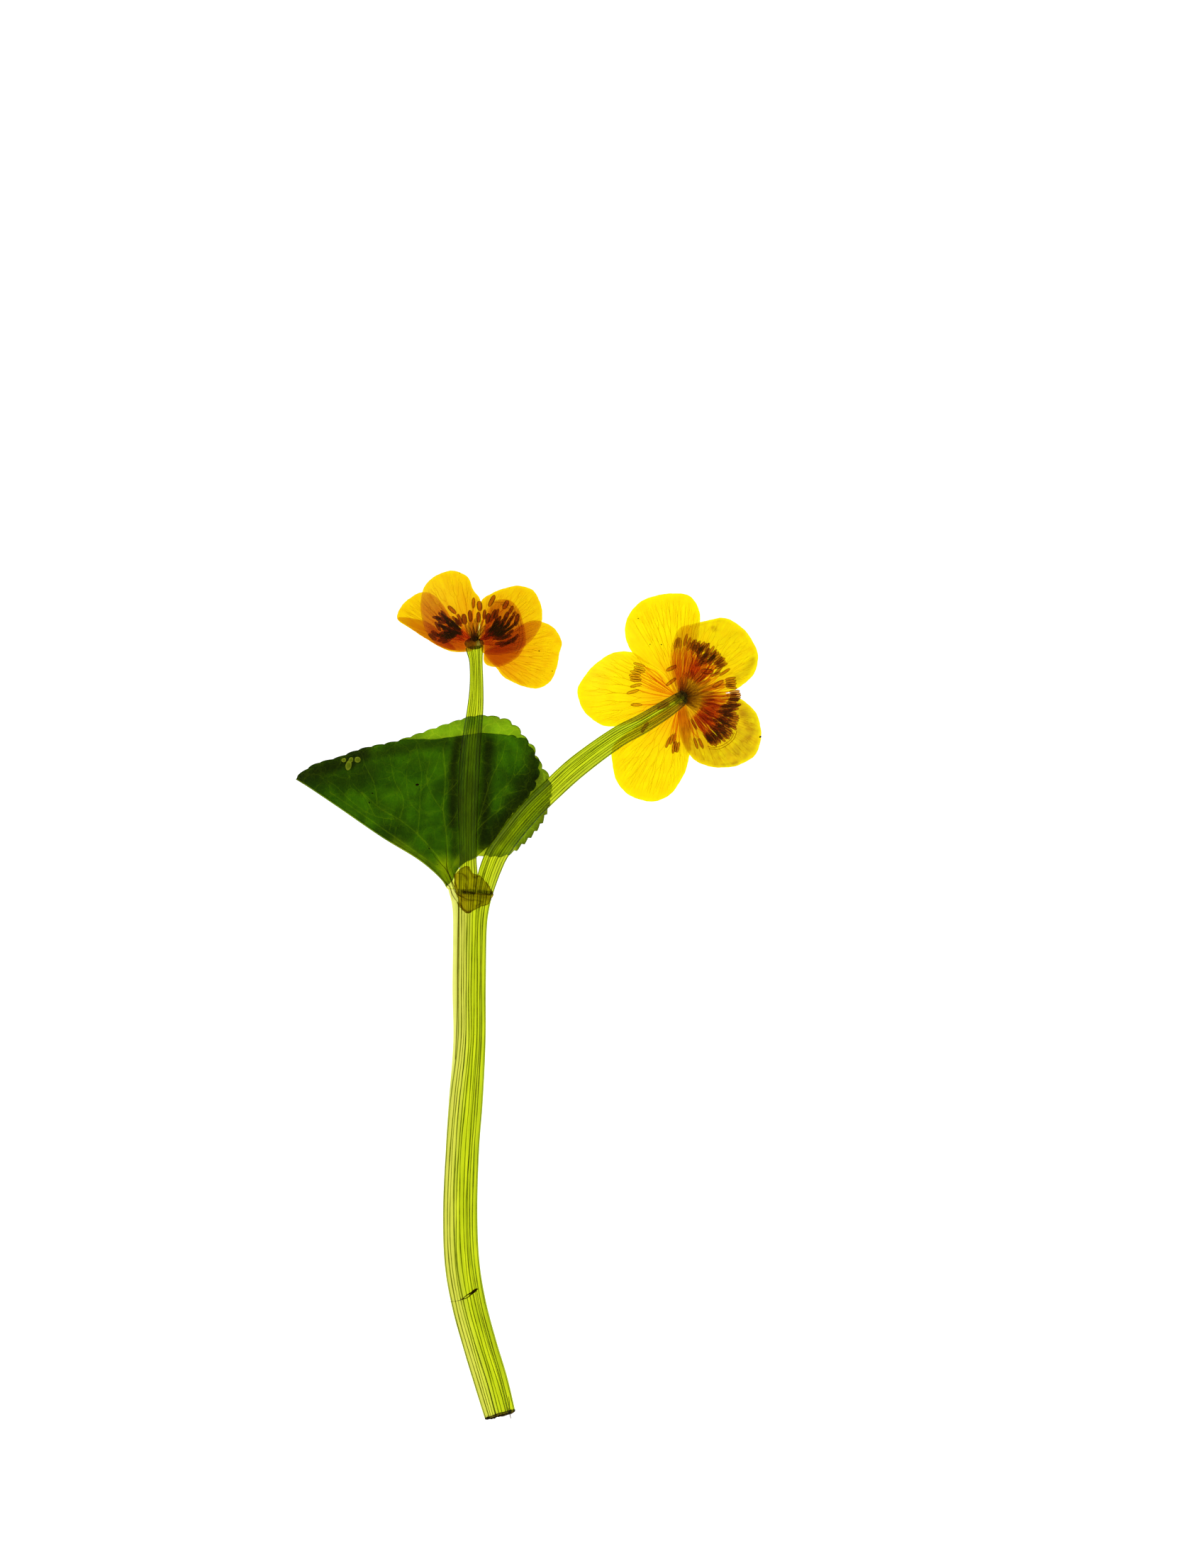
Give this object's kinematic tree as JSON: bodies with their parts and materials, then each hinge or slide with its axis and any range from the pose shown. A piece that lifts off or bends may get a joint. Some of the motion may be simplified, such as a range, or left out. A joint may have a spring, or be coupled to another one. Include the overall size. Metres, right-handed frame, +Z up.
{
  "type": "marsh marigold cutting",
  "caption": "Cut marsh marigold stem lying down, with a folded leaf at its fork and open yellow flowers, lightly pressed and see-through.",
  "frame": {"origin": "centre of the bounding box, on the surface that the plant lies on", "axes": "+Y from the stem's cut end towards the flowers, +Z up from the surface"},
  "size_m": [0.093, 0.17, 0.0069],
  "materials": {
    "stem": "satin, ribbed, fresh green plant tissue",
    "leaf": "satin, dark green leaf with fine pale veins",
    "sheath": "dull, thin brown-green papery tissue",
    "duckweed": "satin, light olive green",
    "right_sepals": "satin, bright lemon yellow, see-through against light",
    "left_sepals": "satin, golden yellow, see-through against light",
    "flower_heart": "dull, brown anthers and olive carpels"
  },
  "bodies": {
    "root": {"main_stem": "stem", "stalk_left": "stem", "stalk_right": "stem", "leaf": "leaf", "leaf_sheath": "sheath", "duckweed": "duckweed", "right_sepal_1": "right_sepals", "right_sepal_2": "right_sepals", "right_sepal_3": "right_sepals", "right_sepal_4": "right_sepals", "right_sepal_5": "right_sepals", "right_flower_heart": "flower_heart", "left_sepal_1": "left_sepals", "left_sepal_2": "left_sepals", "left_sepal_3": "left_sepals", "left_sepal_4": "left_sepals", "left_sepal_5": "left_sepals", "left_flower_heart": "flower_heart"}
  },
  "joints": []
}
